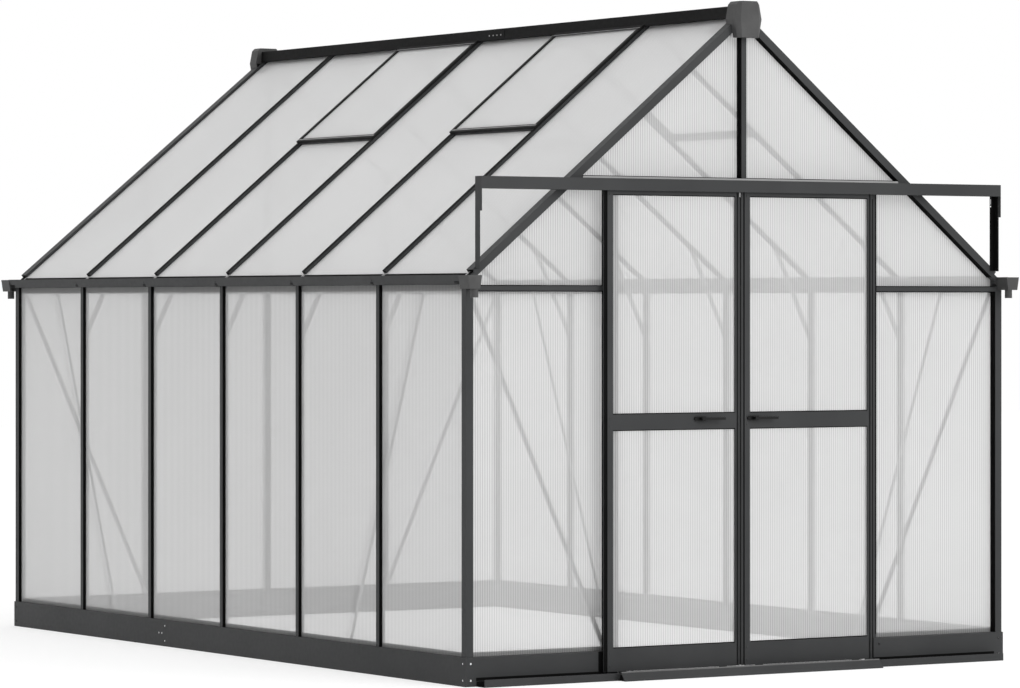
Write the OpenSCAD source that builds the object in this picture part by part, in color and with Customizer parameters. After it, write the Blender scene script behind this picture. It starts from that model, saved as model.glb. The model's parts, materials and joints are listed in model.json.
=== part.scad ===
/* [Overall] */
// outer length of the base frame, front to back
base_length = 3660; // [2400:10:6000]
// outer width of the base frame
base_width = 2430; // [1900:10:3000]
// height of the eave above the ground
eave_height = 1413; // [1200:1:1700]
// slope of the roof in degrees
roof_slope = 39.05; // [30:0.05:45]
// number of bays along each side wall
side_bays = 6; // [4:1:10]
// distance between the bar centres of two side bays
bay_pitch = 602; // [560:1:620]

/* [Base] */
// height of the base frame
base_height = 105; // [80:1:160]
// thickness of the folded base plate
base_wall = 2; // [1.5:0.5:4]
// diameter of the bolt holes in the base frame
base_hole = 8; // [5:0.5:12]
// how far the wall frame stands inside the base face
frame_inset = 4; // [3:1:10]

/* [Bars and sheets] */
// face width of the wall bars and rafters
bar_face = 22; // [18:1:30]
// thickness of the twin wall sheets
sheet = 4; // [4:1:8]
// depth of the sheet behind the face of a side wall bar
side_reveal = 12; // [8:1:16]
// depth of the sheet behind the face of a gable bar
gable_reveal = 26; // [20:1:30]
// width of the corner post face
post_face = 30; // [28:1:45]

/* [Doors] */
// sideways offset of the door pair from the middle of the gable
door_offset = -27; // [-40:1:40]
// width of one door leaf
leaf_width = 585; // [560:1:588]
// height of the top of a door leaf above the ground
leaf_top = 1782; // [1700:1:1782]
// height of the middle rail above the ground
mid_rail_low = 908; // [700:1:1100]
// height of the kick plate top above the ground
kick_top = 115; // [90:1:200]

/* [Roof vents] */
// length of a vent sash down the slope
vent_length = 636; // [400:1:760]
// height of a vent sash above the rafters
sash_height = 10; // [9:1:16]

/* [Hidden] */
// overall frame of the drawing
outlet_front = -62;
outlet_back = base_length + 67;
ramp_front = -104;
part_length = outlet_back - ramp_front;
front_face = -part_length / 2 - ramp_front;
half_w = base_width / 2;
face_x = half_w - frame_inset;
front_y = frame_inset;
back_y = base_length - frame_inset;
mid_y = base_length / 2;
bar_y = [for (i = [1:side_bays - 1]) mid_y + (i - side_bays / 2) * bay_pitch];

// roof
apex = eave_height + 1038 + (base_width - 2430) * 0.405;
drop = 1 / cos(roof_slope);
rise = tan(roof_slope);
gable_rafter_face = 42;
gable_rafter_depth = 29;
rafter_end = half_w - 15;
rafter_length = (half_w - 31) * drop;
ridge_half = 35;
ridge_top = apex + 22;
ridge_skirt = 22;
skirt_notch = 18;
cap_low = apex - 97;
cap_high = apex + 38;

// walls
base_end_hole = 22;
hole_rows = [22, 82];
splice_hole_z = 52;
upstand = 15;
jamb_x = 600;
jamb_stop = 28;
stud_x = [-jamb_x, 0, jamb_x];
header_low = 1795;
header_high = 1832;
eave_bar_face = 17;
eave_bar_mid = eave_height + 10.5;

// gutters
gutter_low = eave_height + 24;
gutter_lip = gutter_low + 34;
gutter_out = half_w + 29;
gutter_width = 67;
gutter_notch = 31;
gutter_front = front_y;
gutter_back = back_y;

// roof vents
vent_bays = [1, 3];
sash_top = 38;
sash_low = sash_top + vent_length;
sash_half = bay_pitch / 2 + 8;

// doors, rail and ramp
opening_half = 622;
ramp_half = 583;
rail_reach = 1171;
rail_low = 1780;
rail_high = 1824;
rail_front = -40;
wheel_ledge = 1790;
track_front = -58;
leaf_front = -23;
leaf_foot = 30;
mid_rail_high = mid_rail_low + 57;
top_rail_low = leaf_top - 16;
handle_height = 945;
left_leaf_x = door_offset - 597;
right_leaf_x = door_offset + 11.5;

// Everything is drawn from the front face of the base and then moved to the middle.
module placed() {
  translate([0, front_face, 0])
    children();
}

// Mirror image across the long middle plane of the greenhouse.
module other_side() {
  mirror([1, 0, 0])
    children();
}

// Mirror image across the cross plane halfway along the greenhouse.
module other_end() {
  translate([0, base_length, 0])
    mirror([0, 1, 0])
      children();
}

module plate(x0, x1, y0, y1) {
  translate([x0, y0])
    square([x1 - x0, y1 - y0]);
}

module box(x0, x1, y0, y1, z0, z1) {
  translate([x0, y0, z0])
    cube([x1 - x0, y1 - y0, z1 - z0]);
}

// Extrude a section drawn in X and Z along Y.
module along_y(y0, y1) {
  translate([0, y1, 0])
    rotate([90, 0, 0])
      linear_extrude(height = y1 - y0)
        children();
}

// Extrude a section drawn in Y and Z along X.
module along_x(x0, x1) {
  translate([x0, 0, 0])
    rotate([90, 0, 90])
      linear_extrude(height = x1 - x0)
        children();
}

// Frame of the right hand roof slope: X runs down the slope, Z stands out of it.
module on_slope() {
  translate([0, 0, apex])
    rotate([0, roof_slope, 0])
      children();
}

// ---------- sections ----------

// Wall bar: hollow cap outside, web, inner flange behind the sheet and a screw bead.
module side_bar_section() {
  w = bar_face / 2;
  d = side_reveal;
  plate(-w, w, 0, 2);
  plate(-w, -w + 2, 0, d);
  plate(w - 2, w, 0, d);
  plate(-1.25, 1.25, 0, d + sheet + 14);
  plate(-w, w, d + sheet, d + sheet + 2);
  plate(-4, 4, d + sheet + 10, d + sheet + 14);
}

// Gable bar: deeper hollow cap so that the sheet sits near the inner face.
module gable_bar_section(face) {
  w = face / 2;
  d = gable_reveal;
  plate(-w, w, 0, 2);
  plate(-w, -w + 2, 0, d);
  plate(w - 2, w, 0, d);
  plate(-1.25, 1.25, 0, d + sheet + 2);
  plate(-w, w, d + sheet, d + sheet + 2);
}

// Corner post with one seat for the side sheet and one for the gable sheet.
module corner_post_section() {
  p = post_face;
  s = side_reveal;
  g = gable_reveal;
  plate(0, p, 0, 2);
  plate(0, 2, 0, p);
  plate(0, s, p - 2, p);
  plate(p - 2, p, 0, g);
  plate(p - 10, p, g - 2, g);
  plate(s + sheet, s + sheet + 2, g - 8, g + sheet + 2);
  plate(s + sheet, p, g + sheet, g + sheet + 2);
  plate(0, p, g - 10, g - 8);
}

// Base plate: tall web, floor flange, top flange and the upstand behind the sheet.
module base_section(sheet_depth) {
  lip = sheet_depth + sheet;
  plate(0, base_wall, 0, base_height);
  plate(0, 40, 0, base_wall);
  plate(0, lip + 2, base_height - base_wall, base_height);
  plate(lip, lip + 2, base_height - base_wall, base_height + upstand);
}

// Room for the side base and the corner post at the end of a gable base.
module base_corner_room() {
  box(-half_w - 1, -half_w + base_wall, base_wall, 100, -1, base_height + 50);
  box(-half_w - 1, -face_x + post_face, base_wall, 100, base_height, base_height + 50);
}

// ---------- base ----------

module base_hole_x(x, y, z) {
  translate([x, y, z])
    rotate([0, 90, 0])
      cylinder(h = 20, d = base_hole, center = true, $fn = 24);
}

module base_hole_y(x, y, z) {
  translate([x, y, z])
    rotate([90, 0, 0])
      cylinder(h = 20, d = base_hole, center = true, $fn = 24);
}

// Four holes of a splice: one above the other and a pair halfway up beside them.
module splice_holes_x(x, y, step) {
  for (z = hole_rows)
    base_hole_x(x, y, z);
  for (i = [1, 2])
    base_hole_x(x, y + i * step, splice_hole_z);
}

module splice_holes_y(y, x, step) {
  for (z = hole_rows)
    base_hole_y(x, y, z);
  for (i = [1, 2])
    base_hole_y(x + i * step, y, splice_hole_z);
}

module base_side(splice_y, step) {
  difference() {
    translate([-half_w, 0, 0])
      along_y(base_wall, base_length - base_wall)
        base_section(frame_inset + side_reveal);
    for (y = [base_end_hole, base_length - base_end_hole], z = hole_rows)
      base_hole_x(-half_w, y, z);
    splice_holes_x(-half_w, splice_y, step);
    box(-half_w + base_wall, 0, -1, 42, -1, 200);
    box(-half_w + base_wall, 0, base_length - 42, base_length + 1, -1, 200);
  }
}

module base_left() {
  color("#34373a") placed()
    base_side(mid_y + 465, 25);
}

module base_right() {
  color("#34373a") placed()
    other_side()
      base_side(mid_y - 465, -25);
}

module base_back() {
  color("#34373a") placed()
    difference() {
      other_end()
        difference() {
          along_x(-half_w, half_w)
            base_section(frame_inset + gable_reveal);
          base_corner_room();
          other_side()
            base_corner_room();
        }
      for (x = [-half_w + base_end_hole, half_w - base_end_hole], z = hole_rows)
        base_hole_y(x, base_length, z);
      splice_holes_y(base_length, 65, -25);
    }
}

// Front base halves stop at the door opening; the sill flange reaches the jamb.
module base_front_half(x_end) {
  jamb_side = -jamb_x - bar_face / 2;
  lip = frame_inset + gable_reveal + sheet;
  difference() {
    union() {
      along_x(-half_w, jamb_side)
        base_section(lip - sheet);
      along_x(-half_w, x_end)
        plate(0, base_wall, 0, base_height);
      // closing plate from the web to the sheet beside the jamb
      box(jamb_side - base_wall, jamb_side, 0, lip + base_wall, 0, base_height);
    }
    base_corner_room();
    for (z = hole_rows)
      base_hole_y(-half_w + base_end_hole, 0, z);
  }
}

module base_front_left() {
  color("#34373a") placed()
    base_front_half(door_offset - opening_half);
}

module base_front_right() {
  color("#34373a") placed()
    other_side()
      difference() {
        base_front_half(-door_offset - opening_half);
        base_hole_y(-door_offset - opening_half - 26, 0, hole_rows[1]);
      }
}

// ---------- wall frame ----------

module corner_post() {
  translate([-face_x, front_y, base_height])
    linear_extrude(height = gutter_low - base_height)
      corner_post_section();
}

module corner_posts() {
  color("#3a3d40") placed() {
    corner_post();
    other_side()
      corner_post();
    other_end()
      corner_post();
    other_end()
      other_side()
        corner_post();
  }
}

module wall_bars() {
  seat = -face_x + side_reveal + sheet;
  difference() {
    for (y = bar_y)
      translate([-face_x, y, base_height])
        rotate([0, 0, -90])
          linear_extrude(height = gutter_low - base_height)
            side_bar_section();
    // notches for the upstand of the base and for the lip under the gutter
    box(seat, seat + 20, 0, base_length, base_height - 1, base_height + upstand);
    box(seat, seat + 20, 0, base_length, eave_height, gutter_low + 1);
  }
}

module left_wall_bars() {
  color("#3a3d40") placed()
    wall_bars();
}

module right_wall_bars() {
  color("#3a3d40") placed()
    other_side()
      wall_bars();
}

// Everything below the underside of the two gable rafters.
module under_rafters(y0, y1, depth) {
  top = apex - depth * drop;
  low = top - 1300 * rise;
  along_y(y0, y1)
    polygon([[0, top], [1300, low], [1300, -10], [-1300, -10], [-1300, low]]);
}

module back_wall_bars() {
  seat = back_y - gable_reveal - sheet;
  color("#3a3d40") placed()
    difference() {
      intersection() {
        for (x = stud_x)
          translate([x, back_y, base_height])
            rotate([0, 0, 180])
              linear_extrude(height = apex)
                gable_bar_section(bar_face);
        under_rafters(back_y - 60, back_y + 1, gable_rafter_depth);
      }
      box(-half_w, half_w, seat - 20, seat, base_height - 1, base_height + upstand);
    }
}

// Jambs: gable bars with a stop flange that laps behind the door leaves.
module door_jambs() {
  edge = bar_face / 2 + jamb_stop;
  color("#3a3d40") placed()
    for (k = [0, 1])
      mirror([k, 0, 0])
        translate([-jamb_x, front_y, 0])
          linear_extrude(height = header_low) {
            gable_bar_section(bar_face);
            plate(0, edge, 0, 2);
            plate(edge - 2, edge, 0, 8);
          }
}

module king_post() {
  color("#3a3d40") placed()
    intersection() {
      translate([0, front_y, header_high])
        linear_extrude(height = 700)
          gable_bar_section(bar_face);
      under_rafters(front_y - 1, front_y + 60, gable_rafter_depth);
    }
}

module door_header() {
  color("#3a3d40") placed()
    intersection() {
      translate([0, front_y, (header_low + header_high) / 2])
        along_x(-900, 900)
          rotate([0, 0, 90])
            mirror([0, 1, 0])
              gable_bar_section(header_high - header_low);
      under_rafters(front_y - 1, front_y + 60, gable_rafter_depth);
    }
}

module eave_bar(x0, x1) {
  translate([0, front_y, eave_bar_mid])
    along_x(x0, x1)
      rotate([0, 0, 90])
        mirror([0, 1, 0])
          gable_bar_section(eave_bar_face);
}

module gable_eave_bars() {
  inner = jamb_x + bar_face / 2;
  outer = face_x - post_face;
  color("#3a3d40") placed() {
    eave_bar(-outer, -inner);
    eave_bar(inner, outer);
    other_end() {
      eave_bar(-outer, -inner);
      eave_bar(inner, outer);
      eave_bar(-jamb_x + bar_face / 2, -bar_face / 2);
      eave_bar(bar_face / 2, jamb_x - bar_face / 2);
    }
  }
}

// ---------- roof ----------

// Room of a rafter: the cap is cut square, the web below it ends inside the gutter.
module rafter_cut(y0, y1) {
  difference() {
    box(2, rafter_end, y0, y1, 0, apex + 100);
    box(half_w - 38, half_w + 100, y0 - 1, y1 + 1, 0, gutter_low + 20);
    on_slope()
      translate([rafter_length, y0 - 1, -side_reveal])
        cube([100, y1 - y0 + 2, side_reveal + 1]);
  }
}

module rafters() {
  for (y = bar_y)
    intersection() {
      on_slope()
        translate([-60, y, 0])
          rotate([90, 0, 90])
            mirror([0, 1, 0])
              linear_extrude(height = 1800)
                side_bar_section();
      rafter_cut(y - 40, y + 40);
    }
}

module left_rafters() {
  color("#3a3d40") placed()
    other_side()
      rafters();
}

module right_rafters() {
  color("#3a3d40") placed()
    rafters();
}

// Gable rafter: front plate, top plate, seat for the roof sheet and for the gable sheet.
module gable_rafter_section() {
  s = side_reveal;
  g = gable_reveal;
  face = gable_rafter_face;
  depth = gable_rafter_depth;
  plate(0, 2, 0, depth);
  plate(0, face, 0, 2);
  plate(face - 2, face, 0, s);
  plate(0, g, depth - 2, depth);
  plate(g + sheet, g + sheet + 2, 0, depth);
  plate(g + sheet, face, s + sheet, s + sheet + 2);
}

module gable_rafter() {
  intersection() {
    on_slope()
      translate([-60, front_y, 0])
        rotate([90, 0, 90])
          mirror([0, 1, 0])
            linear_extrude(height = 1800)
              gable_rafter_section();
    rafter_cut(0, 80);
  }
}

module gable_rafter_pair() {
  gable_rafter();
  other_side()
    gable_rafter();
}

module front_gable_rafters() {
  color("#3a3d40") placed()
    gable_rafter_pair();
}

module back_gable_rafters() {
  color("#3a3d40") placed()
    other_end()
      gable_rafter_pair();
}

// Space taken by the rafters, cut out of the ridge skirt and of the gutter wall.
module rafter_space(depth) {
  on_slope() {
    for (y = bar_y)
      translate([-60, y - bar_face / 2, -depth])
        cube([1800, bar_face, depth]);
    for (y = [front_y, back_y - gable_rafter_face])
      translate([-60, y, -depth])
        cube([1800, gable_rafter_face, depth]);
  }
}

// Box ridge: roof plate, leaning sides with a lip over the sheets, web and lower flange.
module ridge_section() {
  top = ridge_top;
  low = apex - ridge_skirt;
  foot = apex - 68;
  half = [[2, top - 2.5], [ridge_half - 4.5, top - 2.5], [ridge_half - 2.5, low + 2],
    [24.5, low + 2], [24.5, low], [ridge_half, low], [ridge_half - 2, top]];
  flange = [[20, foot], [20, foot + 3], [2, foot + 3]];
  right = concat(flange, half);
  left = [for (i = [len(right) - 1:-1:0]) [-right[i][0], right[i][1]]];
  polygon(concat(right, left));
}

module ridge_beam() {
  web_gap = gable_rafter_face + frame_inset + 20;
  color("#232527") placed()
    difference() {
      along_y(-10, base_length + 10)
        ridge_section();
      intersection() {
        rafter_space(skirt_notch);
        box(2, 80, -20, base_length + 20, 0, apex + 100);
      }
      intersection() {
        other_side()
          rafter_space(skirt_notch);
        box(-80, -2, -20, base_length + 20, 0, apex + 100);
      }
      // the web stops between the gables
      for (y = [-20, back_y - gable_rafter_face])
        box(-25, 25, y, y + web_gap, 0, apex - gable_rafter_depth * drop);
    }
}

// Outline of the ridge cap: widest halfway up, with clipped upper corners.
module cap_outline(top, mid, bottom, clip) {
  half = [[top - clip, cap_high], [top, cap_high - clip], [mid, apex - 28], [bottom, cap_low]];
  mirrored = [for (i = [len(half) - 1:-1:0]) [-half[i][0], half[i][1]]];
  polygon(concat(half, mirrored));
}

module cap_body_outline(inset) {
  cap_outline(51 - inset, 62 - inset, 49 - inset, 12);
}

// Chamfered nose of the cap, from the small front face back to the full outline.
module cap_nose(y0, y1, inset) {
  hull() {
    along_y(y0, y0 + 1)
      cap_outline(36 - inset, 42 - inset, 36.5 - inset, 5);
    along_y(y1 - 1, y1)
      cap_body_outline(inset);
  }
}

// Moulded cap over the ridge end: hollow, with an end wall that fits round the ridge.
module ridge_cap() {
  wall = 3;
  nose = -35;
  shoulder = -20;
  back = 35;
  difference() {
    union() {
      cap_nose(nose, shoulder, 0);
      along_y(shoulder - 1, back)
        cap_body_outline(0);
    }
    intersection() {
      union() {
        cap_nose(nose + wall, shoulder, wall);
        along_y(shoulder - 1, -13)
          cap_body_outline(wall);
        along_y(-10, back - wall)
          cap_body_outline(wall);
      }
      box(-100, 100, -100, 100, cap_low + wall, cap_high - wall);
    }
    // room for the ridge, the rafters and all that is under the roof
    along_y(-10, back + 1)
      polygon([[ridge_half - 2, ridge_top], [ridge_half, apex - ridge_skirt],
        [ridge_half, apex - 60], [-ridge_half, apex - 60],
        [-ridge_half, apex - ridge_skirt], [2 - ridge_half, ridge_top]]);
    along_y(front_y, back + 1)
      polygon([[0, apex], [200, apex - 200 * rise], [200, 2000], [-200, 2000],
        [-200, apex - 200 * rise]]);
  }
}

module ridge_end_caps() {
  color("#3e4144") placed() {
    ridge_cap();
    other_end()
      ridge_cap();
  }
}

// ---------- eaves ----------

// Outline of the gutter up to the given height, drawn in by the wall thickness.
function gutter_outline(wall, top) = [
  [gutter_out - 54 + 0.5 * wall, gutter_low + wall],
  [gutter_out - 12 - 0.8 * wall, gutter_low + wall],
  [gutter_out - wall, top],
  [gutter_out - gutter_width + wall, top],
  [gutter_out - gutter_width + wall, gutter_low + 12 + 0.4 * wall]];

module gutter_section() {
  inner = gutter_out - gutter_width;
  // the inner wall ends just under the roof sheet
  top = apex - (side_reveal + sheet) * drop - 0.4;
  difference() {
    polygon(gutter_outline(0, gutter_lip));
    polygon(gutter_outline(2, gutter_lip + 1));
  }
  polygon([[inner, gutter_low + 12], [inner + 2, gutter_low + 12.8],
    [inner + 2, top - (inner + 2) * rise], [inner, top - inner * rise]]);
}

// Lip behind the wall sheets, under the gutter floor.
module eave_lip() {
  inner = face_x - side_reveal - sheet;
  plate(inner - 2, inner, eave_height, gutter_low);
}

module gutter() {
  difference() {
    union() {
      along_y(gutter_front, gutter_back)
        gutter_section();
      along_y(front_y + gable_reveal + 8, back_y - gable_reveal - 8)
        eave_lip();
    }
    rafter_space(gutter_notch);
  }
}

module left_gutter() {
  color("#3a3d40") placed()
    other_side()
      gutter();
}

module right_gutter() {
  color("#3a3d40") placed()
    gutter();
}

// Stop end with a sump and a stub for a down pipe.
module gutter_outlet(y_low, y_high) {
  out = gutter_out;
  z0 = gutter_low;
  stub_x = out - 38;
  stub_y = y_low + 17;
  difference() {
    union() {
      along_y(y_low, y_high)
        polygon([[out - 52, z0 - 16], [out - 8, z0 - 16], [out, z0 + 33], [out - 60, z0 + 33]]);
      along_y(y_high - 2.5, y_high)
        polygon(gutter_outline(0, z0 + 33));
      translate([stub_x, stub_y, z0 - 47])
        cylinder(h = 40, d = 28, $fn = 48);
    }
    along_y(y_high - 3, y_high + 1)
      polygon(gutter_outline(2, gutter_lip + 1));
    along_y(y_low + 2.5, y_high + 1)
      polygon([[out - 49.5, z0 - 13.5], [out - 10.5, z0 - 13.5], [out - 2.5, z0 + 40],
        [out - 57.5, z0 + 40]]);
    translate([stub_x, stub_y, z0 - 50])
      cylinder(h = 60, d = 23, $fn = 48);
  }
}

module outlets_of_gutter() {
  gutter_outlet(outlet_front, gutter_front);
  translate([0, base_length, 0])
    mirror([0, 1, 0])
      gutter_outlet(base_length - outlet_back, base_length - gutter_back);
}

module gutter_outlets() {
  color("#3e4144") placed() {
    outlets_of_gutter();
    other_side()
      outlets_of_gutter();
  }
}

// ---------- braces ----------

// Flat bar between two points of a vertical plane, drawn in the plane (u, z).
module flat_bar(a, b, w) {
  d = b - a;
  translate(a)
    rotate(atan2(d[1], d[0]))
      translate([0, -w / 2])
        square([norm(d), w]);
}

// Strut from a wall bar to its rafter, bolted to the side of both.
module knee_brace(y) {
  low = apex - (side_reveal + sheet + 2) * drop;
  along_y(y + 4, y + 7)
    intersection() {
      flat_bar([1195, 1225], [1000, 1640], 20);
      plate(900, face_x - side_reveal - sheet - 2, 0, 3000);
      polygon([[0, low], [1300, low - 1300 * rise], [1300, 0], [0, 0]]);
    }
}

module knee_braces() {
  color("#5a5d60") placed()
    for (y = bar_y) {
      knee_brace(y);
      other_side()
        knee_brace(y);
    }
}

// Diagonal strip inside the side wall, over the first bay and a half.
module side_brace() {
  x_in = face_x - side_reveal - sheet - 14;
  y_a = (bar_y[0] + 34) / 2;
  y_b = (bar_y[0] + bar_y[1]) / 2;
  along_x(x_in - 2, x_in)
    intersection() {
      flat_bar([y_a, eave_height + 40], [y_b, base_height - 125], 18);
      plate(0, 2000, base_wall, eave_height + 32);
    }
}

// Diagonal strip inside the gable, from the corner down to the jamb.
module gable_brace() {
  y_in = front_y + gable_reveal + sheet + 2;
  along_y(y_in, y_in + 2)
    intersection() {
      flat_bar([-face_x + 32, eave_height], [-jamb_x, base_height + 6], 18);
      plate(-face_x + 20, -jamb_x + 4, base_height + 16, eave_height);
    }
}

module corner_braces() {
  side_brace();
  gable_brace();
  other_side() {
    side_brace();
    gable_brace();
  }
}

module wall_braces() {
  color("#5a5d60") placed() {
    corner_braces();
    other_end()
      corner_braces();
  }
}

// ---------- door rail, track and threshold ----------

// Hanging rail: front and back plates, cap, front lip and the ledge for the wheels.
module rail_section() {
  plate(rail_front, rail_front + 2, rail_low, rail_high);
  plate(rail_front, front_y, rail_high - 2, rail_high);
  plate(front_y - 2, front_y, rail_low, rail_high);
  plate(rail_front, rail_front + 10, rail_low, rail_low + 2);
  plate(-12, front_y, wheel_ledge - 2, wheel_ledge);
}

module door_rail() {
  color("#3a3d40") placed()
    along_x(-rail_reach, rail_reach)
      rail_section();
}

// Post from the gable rafter up to the end of the rail, with a hole and a slot.
module rail_end_post() {
  x = rail_reach;
  foot = 1493;
  step = 1700;
  hole_x = x - 14;
  difference() {
    union() {
      box(x, x + 2, rail_front, front_y, step, rail_high);
      box(x, x + 2, -27, front_y, foot, step);
      box(x - 18, x, front_y - 2, front_y, foot, rail_low);
    }
    translate([hole_x, 0, rail_low - 38])
      rotate([90, 0, 0])
        cylinder(h = 30, d = 6, center = true, $fn = 24);
    box(hole_x - 1.5, hole_x + 1.5, -20, 20, rail_low - 30, rail_low - 10);
  }
}

module rail_end_posts() {
  color("#3a3d40") placed() {
    rail_end_post();
    other_side()
      rail_end_post();
  }
}

module door_track() {
  color("#3a3d40") placed()
    along_x(-rail_reach, rail_reach) {
      plate(track_front, 0, 0, 2);
      plate(track_front, track_front + 2, 0, 28);
      plate(-2, 0, 0, 20);
    }
}

// Sill between the jambs and the folded ramp in front of the track.
module door_threshold() {
  inner = jamb_x - bar_face / 2 - jamb_stop;
  color("#3a3d40") placed() {
    along_x(-inner, inner) {
      plate(2, 36, 0, 2);
      plate(2, 4, 0, 24);
      plate(34, 36, 0, 24);
      plate(2, 36, 22, 24);
    }
    translate([door_offset + 8, 0, 0])
      along_x(-ramp_half, ramp_half)
        polygon([[ramp_front, 0], [-78, 33], [-76, 33], [-60, 0],
          [-62.5, 0], [-77, 30], [ramp_front + 3, 0]]);
  }
}

// ---------- doors ----------

// Left stile: hollow face with a lapping strip on its outer edge.
module left_stile_section() {
  plate(0, 23.5, 0, 2);
  plate(0, 2, 0, 16);
  plate(0, 15, 14, 16);
  plate(21.5, 23.5, 0, 6);
  plate(13, 15, 6, 16);
  plate(0, 15, 6, 8);
  plate(-5, 0, 8, 10);
  plate(-13.5, -5, 4, 10);
}

// Right stile: two narrow faces with a groove between them.
module right_stile_section() {
  plate(0, 5, 0, 2);
  plate(0, 2, 0, 6);
  plate(3, 5, 0, 16);
  plate(3, 20, 6, 8);
  plate(14, 20, 0, 2);
  plate(14, 16, 0, 8);
  plate(18, 20, 0, 16);
  plate(3, 20, 14, 16);
}

// Door rail: front plate of the given height with lips that hold the sheets.
module leaf_rail_section(z0, z1) {
  plate(0, 2, z0, z1);
  plate(0, 6, z1 - 2, z1);
  plate(0, 6, z0, z0 + 2);
  plate(10, 12, z0, z1);
  plate(0, 12, (z0 + z1) / 2 - 1, (z0 + z1) / 2 + 1);
}

// Plate up into the rail with a wheel that runs on its ledge.
module hanger(x) {
  axle = wheel_ledge + 12;
  box(x - 20, x + 20, -21, -18, leaf_top - 12, axle + 10);
  translate([x, -8, axle])
    rotate([90, 0, 0]) {
      cylinder(h = 6, d = 22, $fn = 48);
      cylinder(h = 12, d = 8, $fn = 32);
    }
}

module leaf_frame() {
  translate([0, leaf_front, leaf_foot])
    linear_extrude(height = leaf_top - leaf_foot)
      left_stile_section();
  translate([leaf_width - 20, leaf_front, leaf_foot])
    linear_extrude(height = leaf_top - leaf_foot)
      right_stile_section();
  translate([0, leaf_front, 0])
    along_x(13, leaf_width - 15) {
      leaf_rail_section(leaf_foot, kick_top);
      leaf_rail_section(mid_rail_low, mid_rail_high);
      leaf_rail_section(top_rail_low, leaf_top);
    }
  hanger(90);
  hanger(leaf_width - 90);
  // guide shoes in the lower track
  for (x = [70, leaf_width - 70])
    box(x - 15, x + 15, -19, -11, 12, leaf_foot + 2);
}

module leaf_panels() {
  face = leaf_front + 6;
  for (z = [[kick_top, mid_rail_low], [mid_rail_high, top_rail_low]])
    box(16, leaf_width - 18, face, face + 4, z[0] + 1, z[1] - 1);
}

// Lever handle on a rounded base plate.
module leaf_handle() {
  plate_front = leaf_front - 6;
  lever_front = leaf_front - 26;
  translate([0, leaf_front, handle_height])
    rotate([90, 0, 0])
      linear_extrude(height = 6) {
        plate(-18, 18, -8.5, 8.5);
        for (x = [-18, 18])
          translate([x, 0])
            circle(d = 17, $fn = 48);
      }
  translate([0, plate_front, handle_height])
    rotate([90, 0, 0])
      cylinder(h = 20, d = 12, $fn = 48);
  box(-6, 98, lever_front, lever_front + 8, handle_height - 5, handle_height + 5);
}

module left_door_frame() {
  color("#3a3d40") placed()
    translate([left_leaf_x, 0, 0])
      leaf_frame();
}

module right_door_frame() {
  color("#3a3d40") placed()
    translate([right_leaf_x, 0, 0])
      leaf_frame();
}

module left_door_panels() {
  color("#dfe3e4") placed()
    translate([left_leaf_x, 0, 0])
      leaf_panels();
}

module right_door_panels() {
  color("#dfe3e4") placed()
    translate([right_leaf_x, 0, 0])
      leaf_panels();
}

module left_door_handle() {
  color("#151618") placed()
    translate([left_leaf_x + 407, 0, 0])
      leaf_handle();
}

module right_door_handle() {
  color("#151618") placed()
    translate([right_leaf_x + 37, 0, 0])
      leaf_handle();
}

// ---------- roof vents ----------

function bay_low(i) = i == 0 ? front_y + 34 : bar_y[i - 1] + 2.25;
function bay_high(i) = i == side_bays - 1 ? back_y - 34 : bar_y[i] - 2.25;
function is_vent(i) = len([for (v = vent_bays) if (v == i) v]) > 0;
function bay_middle(i) = (bay_low(i) + bay_high(i)) / 2;

// Sash on top of the rafters: hollow rim whose lip comes down on the recessed sheet.
module sash(y_mid) {
  wall = 2;
  seat = 20;
  rim = 18.5;
  floor = 1.5;
  sheet_face = floor + sheet;
  translate([0, y_mid, 0])
    difference() {
      sash_block(0, 0, sash_height);
      // light opening below, room of the sheet, hollow of the rim and window above
      sash_block(seat, -1, sash_height);
      sash_block(wall, floor, sheet_face);
      difference() {
        sash_block(wall, sheet_face - 0.1, sash_height - wall);
        sash_block(rim - wall, 0, sash_height);
      }
      sash_block(rim, floor, sash_height + 1);
    }
}

// Block of the sash's outline drawn in by inset on all sides.
module sash_block(inset, w0, w1) {
  translate([sash_top + inset, -sash_half + inset, w0])
    cube([vent_length - 2 * inset, 2 * (sash_half - inset), w1 - w0]);
}

module sash_panel(y_mid) {
  translate([sash_top + 7, y_mid - sash_half + 3, 1.5])
    cube([vent_length - 10, 2 * sash_half - 6, sheet]);
}

// Room of the ridge beam, which the upper rail of a sash meets with an upright face.
module ridge_room() {
  box(-ridge_half - 1, ridge_half + 1, 0, base_length, apex - 200, apex + 100);
}

// Cross bar under the lower edge of the sash, between two rafters.
module vent_bar(i) {
  s = side_reveal;
  translate([sash_low - 30, bar_y[i] - bar_face / 2, 0])
    rotate([90, 0, 0])
      linear_extrude(height = bay_pitch - bar_face) {
        plate(0, 24, -2, 0);
        plate(0, 2, -s - sheet - 2, 0);
        plate(22, 24, -s, 0);
        plate(0, 24, -s - sheet - 2, -s - sheet);
      }
}

module roof_vent_bars() {
  color("#3a3d40") placed()
    for (k = [0, 1])
      mirror([k, 0, 0])
        on_slope()
          for (i = vent_bays)
            vent_bar(i);
}

module vents_on_slope() {
  for (i = vent_bays)
    sash(bay_middle(i));
}

module roof_vents() {
  color("#3a3d40") placed()
    difference() {
      for (k = [0, 1])
        mirror([k, 0, 0])
          on_slope()
            vents_on_slope();
      ridge_room();
    }
}

module roof_vent_panels() {
  color("#dfe3e4") placed() {
    on_slope()
      for (i = vent_bays)
        sash_panel(bay_middle(i));
    other_side()
      on_slope()
        for (i = vent_bays)
          sash_panel(bay_middle(i));
  }
}

// ---------- sheets ----------

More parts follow.
